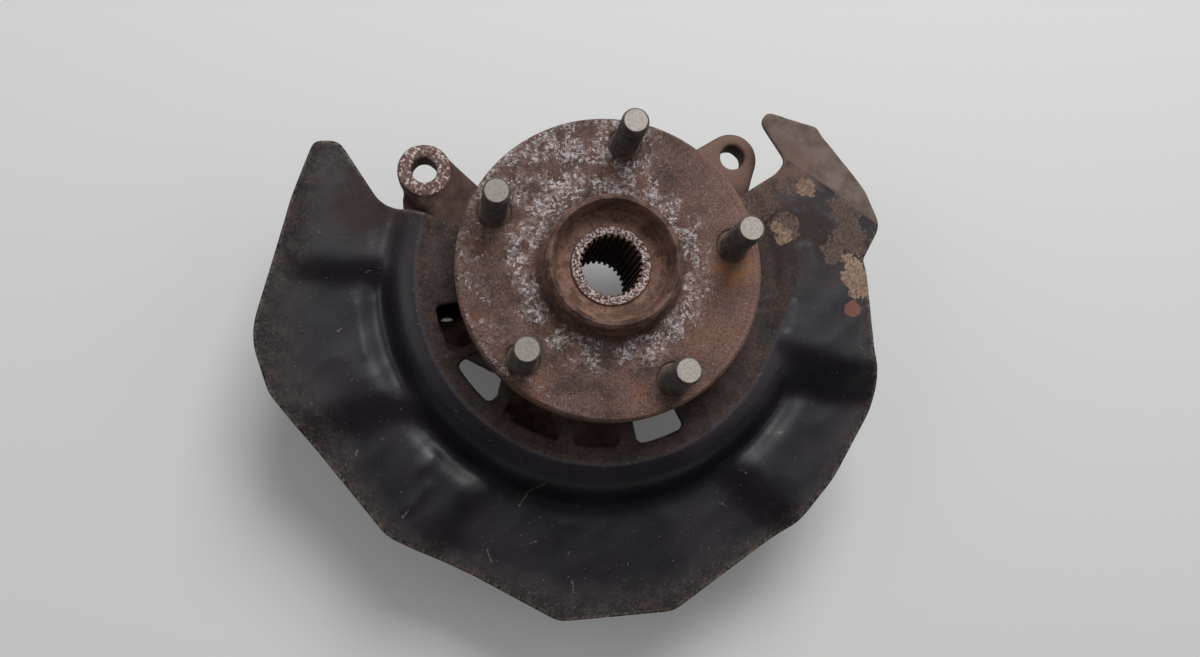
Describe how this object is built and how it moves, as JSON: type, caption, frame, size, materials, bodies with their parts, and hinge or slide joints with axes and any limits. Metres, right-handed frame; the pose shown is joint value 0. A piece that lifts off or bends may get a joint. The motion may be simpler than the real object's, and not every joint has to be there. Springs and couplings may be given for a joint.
{
  "type": "steering knuckle",
  "caption": "Steering knuckle with rusty five-stud wheel hub turning in a ball bearing, two caliper ears, strut tab, ball joint and tie rod arms, and a pressed steel dust shield.",
  "frame": {"origin": "where the spin axis meets the wheel mounting face of the hub flange", "axes": "+Z outboard along the spin axis, +X along the line through the two caliper ear holes, towards the ear nearer the ball joint arm"},
  "size_m": [0.3074, 0.2388, 0.132],
  "materials": {
    "casting": "rusty rough casting",
    "hub_steel": "brown rust with pale worn speckle",
    "stud_steel": "dark used thread, bright worn end",
    "shield_paint": "worn black paint with rust at the edges",
    "bolt_steel": "dull rusted steel",
    "bearing_steel": "ground steel",
    "cage_plastic": "moulded cage plastic",
    "seal_rubber": "black rubber"
  },
  "bodies": {
    "knuckle_body": {"knuckle": "casting", "bearing_outer_ring": "bearing_steel", "bearing_seal_outboard": "seal_rubber", "bearing_seal_inboard": "seal_rubber", "snap_ring": "bolt_steel", "dust_shield": "shield_paint", "shield_bolt_1": "bolt_steel", "shield_bolt_2": "bolt_steel", "shield_bolt_3": "bolt_steel", "shield_bolt_4": "bolt_steel"},
    "hub_body": {"hub": "hub_steel", "bearing_inner_ring_outboard": "bearing_steel", "bearing_inner_ring_inboard": "bearing_steel", "wheel_stud_1": "stud_steel", "wheel_stud_2": "stud_steel", "wheel_stud_3": "stud_steel", "wheel_stud_4": "stud_steel", "wheel_stud_5": "stud_steel"},
    "ball_body": {"bearing_balls_outboard": "bearing_steel", "bearing_balls_inboard": "bearing_steel", "bearing_cage_outboard": "cage_plastic", "bearing_cage_inboard": "cage_plastic"}
  },
  "joints": [
    {"name": "hub_spin", "type": "hinge", "parent": "knuckle_body", "child": "hub_body", "pos_m": [0, 0, -0.041], "axis": [0, 0, 1], "continuous": true},
    {"name": "ball_spin", "type": "hinge", "parent": "knuckle_body", "child": "ball_body", "pos_m": [0, 0, -0.041], "axis": [0, 0, 1], "continuous": true}
  ],
  "couplings": [
    {"joint": "ball_spin", "follows": "hub_spin", "ratio": 0.4138}
  ]
}
